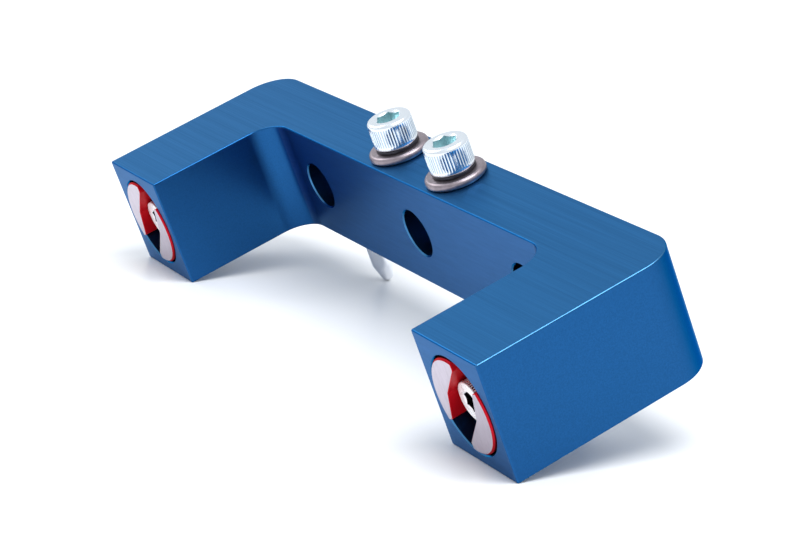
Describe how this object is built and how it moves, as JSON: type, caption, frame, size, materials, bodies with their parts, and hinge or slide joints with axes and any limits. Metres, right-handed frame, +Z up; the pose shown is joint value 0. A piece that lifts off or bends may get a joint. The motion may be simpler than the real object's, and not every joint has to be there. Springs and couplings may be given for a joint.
{
  "type": "circuit board vise jaw",
  "caption": "U-shaped jaw of a circuit board vise: slotted turning plugs in its arm tips, cross holes for guide rods, clamp screws on its bridge and locating pins below.",
  "frame": {"origin": "under the middle of the whole jaw, on the surface that it leans on, resting on its arm tips and pin noses", "axes": "+X along the bridge to the right arm, +Y from the arm tips towards the bridge, +Z up; the bar leans back 22.36 degrees about X"},
  "size_m": [0.176, 0.0542, 0.0494],
  "materials": {
    "blue_anodised": "blue anodised over a fine brushed surface, satin",
    "red_anodised": "red anodised, its face and edge turned bare",
    "bright_plated": "bright zinc plated",
    "grey_washer": "stamped steel, tumbled",
    "black_washer": "black phosphated spring steel",
    "spring_steel": "bright spring steel",
    "polished_pin": "ground and polished",
    "black_rubber": "matt"
  },
  "bodies": {
    "frame": {"jaw_frame": "blue_anodised", "left_locating_pin": "polished_pin", "right_locating_pin": "polished_pin", "left_flat_washer": "grey_washer", "right_flat_washer": "grey_washer", "left_wave_washer": "spring_steel", "right_wave_washer": "spring_steel", "left_thread_insert": "spring_steel", "right_thread_insert": "spring_steel"},
    "left_ring": {"left_o_ring": "black_rubber"},
    "left_plug": {"left_jaw_plug": "red_anodised"},
    "left_plug_bolt": {"left_plug_screw": "bright_plated"},
    "left_spring": {"left_spring_washer": "black_washer"},
    "left_clamp_bolt": {"left_clamp_screw": "bright_plated"},
    "right_ring": {"right_o_ring": "black_rubber"},
    "right_plug": {"right_jaw_plug": "red_anodised"},
    "right_plug_bolt": {"right_plug_screw": "bright_plated"},
    "right_spring": {"right_spring_washer": "black_washer"},
    "right_clamp_bolt": {"right_clamp_screw": "bright_plated"}
  },
  "joints": [
    {"name": "left_plug_lift", "type": "slide", "parent": "frame", "child": "left_ring", "axis": [0, -0.9248, -0.3804], "range_m": [0, 0.0008]},
    {"name": "left_plug_turn", "type": "hinge", "parent": "left_ring", "child": "left_plug", "pos_m": [-0.0753, -0.02224, 0.01206], "axis": [0, -0.9248, -0.3804], "continuous": true},
    {"name": "left_plug_screw_turn", "type": "hinge", "parent": "left_ring", "child": "left_plug_bolt", "pos_m": [-0.0753, -0.02224, 0.01206], "axis": [0, -0.9248, -0.3804], "range_deg": [0, 360]},
    {"name": "left_clamp_lift", "type": "slide", "parent": "frame", "child": "left_spring", "axis": [0, -0.3804, 0.9248], "range_m": [0, 0.01]},
    {"name": "left_clamp_screw_turn", "type": "hinge", "parent": "left_spring", "child": "left_clamp_bolt", "pos_m": [-0.0127, 0.01, 0.03959], "axis": [0, -0.3804, 0.9248], "range_deg": [0, 3600]},
    {"name": "right_plug_lift", "type": "slide", "parent": "frame", "child": "right_ring", "axis": [0, -0.9248, -0.3804], "range_m": [0, 0.0008]},
    {"name": "right_plug_turn", "type": "hinge", "parent": "right_ring", "child": "right_plug", "pos_m": [0.0753, -0.02224, 0.01206], "axis": [0, -0.9248, -0.3804], "continuous": true},
    {"name": "right_plug_screw_turn", "type": "hinge", "parent": "right_ring", "child": "right_plug_bolt", "pos_m": [0.0753, -0.02224, 0.01206], "axis": [0, -0.9248, -0.3804], "range_deg": [0, 360]},
    {"name": "right_clamp_lift", "type": "slide", "parent": "frame", "child": "right_spring", "axis": [0, -0.3804, 0.9248], "range_m": [0, 0.01]},
    {"name": "right_clamp_screw_turn", "type": "hinge", "parent": "right_spring", "child": "right_clamp_bolt", "pos_m": [0.0127, 0.01, 0.03959], "axis": [0, -0.3804, 0.9248], "range_deg": [0, 3600]}
  ],
  "couplings": [
    {"joint": "left_plug_screw_turn", "follows": "left_plug_lift", "rad_per_m": 7854},
    {"joint": "left_clamp_screw_turn", "follows": "left_clamp_lift", "rad_per_m": 6283.2},
    {"joint": "right_plug_screw_turn", "follows": "right_plug_lift", "rad_per_m": 7854},
    {"joint": "right_clamp_screw_turn", "follows": "right_clamp_lift", "rad_per_m": 6283.2}
  ]
}
